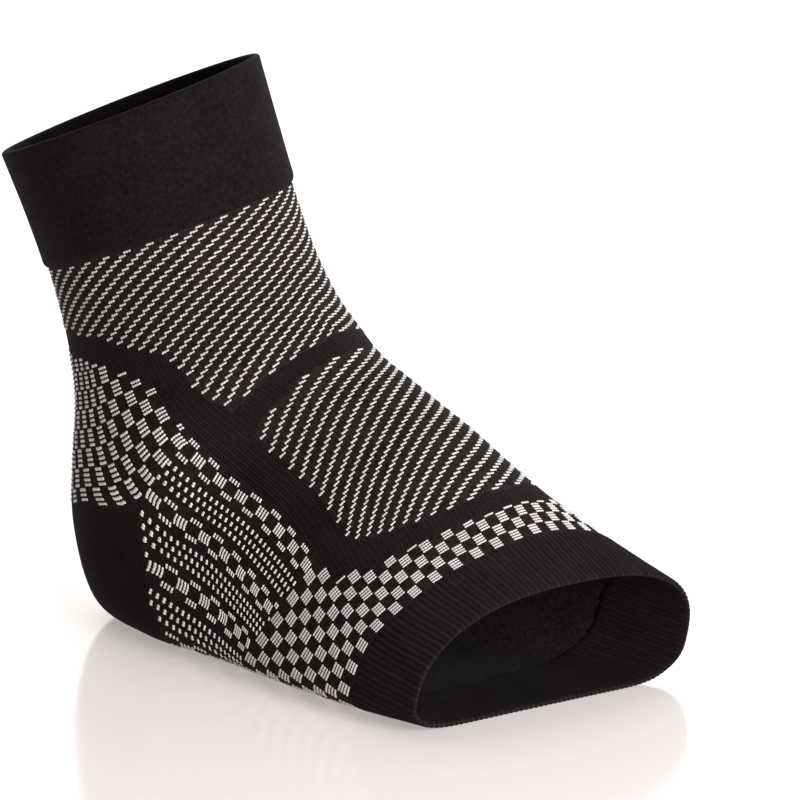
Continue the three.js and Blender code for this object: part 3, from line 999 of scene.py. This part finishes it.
def on_side(wale, along):
    """True where a stitch clears the heel cup and the checks next to the toe band."""
    above_heel = along < edge_at(HEEL_TOP, wale) - HEEL_CLEAR
    off_heel = above_heel | (along > edge_at(HEEL_END, wale) + HEEL_CLEAR)
    return off_heel & (along < edge_at(TOE_TOP, wale) - BALL_COURSE * BLOCK * BALL_ROWS - YARN_CLEAR)


def on_ankle(wale, along):
    """True where a stitch clears the panel's upper edge and the heel cup."""
    below_top = along > edge_at(CHECK_TOP, wale) + YARN_CLEAR
    return below_top & (along < edge_at(HEEL_TOP, wale) - HEEL_CLEAR)


# A ladder is eight stitches wide: a block in its middle, and in the next block row half a block at each
# edge. Dots are two stitches wide, in every second course, and their three columns take turns.
panel_course, panel_column = np.meshgrid(
    np.arange(BLOCK * PANEL_ROWS), np.arange(PANEL_STITCHES), indexing="ij",
)
panel_edge = np.minimum(panel_column, PANEL_STITCHES - 1 - panel_column)
panel_block = (panel_edge - LADDER_EDGE) // BLOCK
panel_row = panel_course // BLOCK
checked = (panel_block + panel_row) % 2 == 0
in_strip = panel_edge % STRIP_REPEAT
in_big = (in_strip >= LADDER_EDGE) & (in_strip < LADDER_WIDE - LADDER_EDGE)
strip_number = panel_edge // STRIP_REPEAT
big_row = (panel_row + strip_number) % 2 == 0
laddered = (in_strip < LADDER_WIDE) & (in_big == big_row)
dotted = np.zeros(checked.shape, dtype=bool)
for number, start in enumerate(DOT_STARTS):
    in_dot = (in_strip >= start) & (in_strip < start + DOT_WIDE)
    dotted = dotted | (in_dot & ((panel_course + number) % 2 == 0))
below_ankle = block_row(panel_course) > SIDE_ROW

check_yarn = white_yarn("check_yarn", CHECK_PALE, CHECK_DULL)
ankle_runs = runs_within(stitch_runs(checked & ~below_ankle), ankle_place, on_ankle)
ankle_yarn = raised_yarn(
    "ankle_check_yarn",
    ankle_runs,
    ankle_place,
    half_wide=0.40,
    lean=0.0,
    climb=0.0,
    material=check_yarn,
    seed=13,
)
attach(ankle_yarn, "root")

ladder_runs = runs_within(stitch_runs(laddered & below_ankle), side_place, on_side)
ladder_yarn = raised_yarn(
    "ladder_yarn",
    ladder_runs,
    side_place,
    half_wide=0.39,
    lean=0.0,
    climb=0.0,
    material=check_yarn,
    seed=14,
)
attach(ladder_yarn, "root")

dot_runs = runs_within(stitch_runs(dotted & below_ankle), side_place, on_side)
dot_yarn = raised_yarn(
    "dot_yarn",
    dot_runs,
    side_place,
    half_wide=0.5,
    lean=0.1,
    climb=0.0,
    material=check_yarn,
    seed=15,
)
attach(dot_yarn, "root")


def ball_place(column, course):
    """Wale and way along of a stitch of the checks whose courses are counted back from the toe band."""
    wale = (column - BALL_STITCHES / 2) * WALES / BALL_STITCHES + BALL_SHIFT
    return wale, edge_at(TOE_TOP, wale) - BALL_COURSE * (course + 0.5)


def on_ball(wale, along):
    """True where a stitch clears the panel's upper edge."""
    return along > edge_at(CHECK_TOP, wale) + YARN_CLEAR


ball_course, ball_column = np.meshgrid(
    np.arange(BLOCK * BALL_ROWS), np.arange(BALL_STITCHES), indexing="ij",
)
ball_white = (ball_column // BLOCK + ball_course // BLOCK) % 2 == 0
ball_runs = runs_within(stitch_runs(ball_white), ball_place, on_ball)
ball_yarn = raised_yarn(
    "ball_check_yarn",
    ball_runs,
    ball_place,
    half_wide=0.45,
    lean=0.0,
    climb=0.0,
    material=stripe_yarn,
    seed=16,
    toward_toes=False,
)
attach(ball_yarn, "root")

# Support band
# Plain, tighter near-black knit that passes round the sleeve at its bend, down both sides of the instep
# panel and across below it. It is knitted into the panels on either side of it.

in_band = below_cuff & ~in_leg & ~in_instep & ~in_heel & ~below_check
band_knit = dark_knit(
    "band_knit",
    stitch_wide=1.0,
    stitch_tall=1.03,
    depth=0.24,
    pale=0.46,
    lines=0.9,
    mottle=0.6,
    roughness=0.88,
)
band_cloth = knit_wall("band_cloth", in_band, band_knit)
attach(band_cloth, "root")
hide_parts("support_band")

# Toe band A plain near-black end with fine ribs, a little thicker than the other knit, round the toe
# opening.

TOE_WALL = 1.6
TOE_RIM = 0.85
# Both faces end inside the check panel's wall, the outer one at this depth and the inner one at the next.
TOE_DIP = -0.35
TOE_INNER_END = -1.1
RIBS = 140
RIB_DEEP = 0.17
RIB_PROUD = 0.16
LINES_PER_RIB = 6
# The ribs start on the check panel. They are half as high at the first of these shares of the way along
# the band, and full at the second.
TOE_HALF_RISEN = 0.03
TOE_FULL_RISEN = 0.07
HALF_RISE = 0.5
TOE_OUTER_POINTS = 18
TOE_RIM_POINTS = 9
TOE_INNER_POINTS = 12

toe_lines = np.arange(RIBS * LINES_PER_RIB) * WALES / (RIBS * LINES_PER_RIB)
toe_start = edge_at(TOE_TOP, toe_lines)
rib_wave = -np.cos(2 * math.pi * toe_lines * RIBS / WALES)
# The band's profile: the outer face with its rise, the rounded rim and the inner face.
outer_share = np.linspace(TOE_FULL_RISEN, 1.0, TOE_OUTER_POINTS)
rim_turn = np.linspace(0.0, math.pi, TOE_RIM_POINTS)[1:-1]
inner_share = np.linspace(1.0, 0.0, TOE_INNER_POINTS)
rim_middle = (RIB_PROUD - TOE_WALL) / 2
rim_half = (RIB_PROUD + TOE_WALL) / 2
rise_share = [0.0, TOE_HALF_RISEN]
toe_share = np.concatenate([rise_share, outer_share, np.ones(len(rim_turn)), inner_share])
toe_beyond = np.concatenate([
    np.zeros(len(rise_share) + TOE_OUTER_POINTS),
    np.sin(rim_turn),
    np.zeros(TOE_INNER_POINTS),
])
toe_height = np.concatenate([
    [TOE_DIP, RIB_PROUD * HALF_RISE],
    np.full(TOE_OUTER_POINTS, RIB_PROUD),
    rim_middle + rim_half * np.cos(rim_turn),
    np.full(TOE_INNER_POINTS - 1, -TOE_WALL),
    [TOE_INNER_END],
])
rib_amount = np.concatenate([
    [0.0, HALF_RISE],
    np.ones(TOE_OUTER_POINTS),
    np.clip(np.cos(rim_turn), 0, 1),
    np.zeros(TOE_INNER_POINTS),
])
toe_span = SLEEVE_LONG - TOE_RIM - toe_start
toe_along = toe_start[None, :] + toe_share[:, None] * toe_span[None, :] + TOE_RIM * toe_beyond[:, None]
toe_proud = toe_height[:, None] + RIB_DEEP * rib_amount[:, None] * rib_wave[None, :]
toe_knit = dark_knit(
    "toe_knit",
    stitch_wide=WALES / RIBS,
    stitch_tall=0.9,
    depth=0.12,
    pale=0.46,
    lines=0.6,
    mottle=0.5,
    roughness=0.88,
)
# The profile is turned round, because it runs the other way from the cuff's.
toe_cloth = swept_band("toe_cloth", toe_lines, toe_along[::-1], toe_proud[::-1], toe_knit)
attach(toe_cloth, "root")
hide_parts("toe_band")
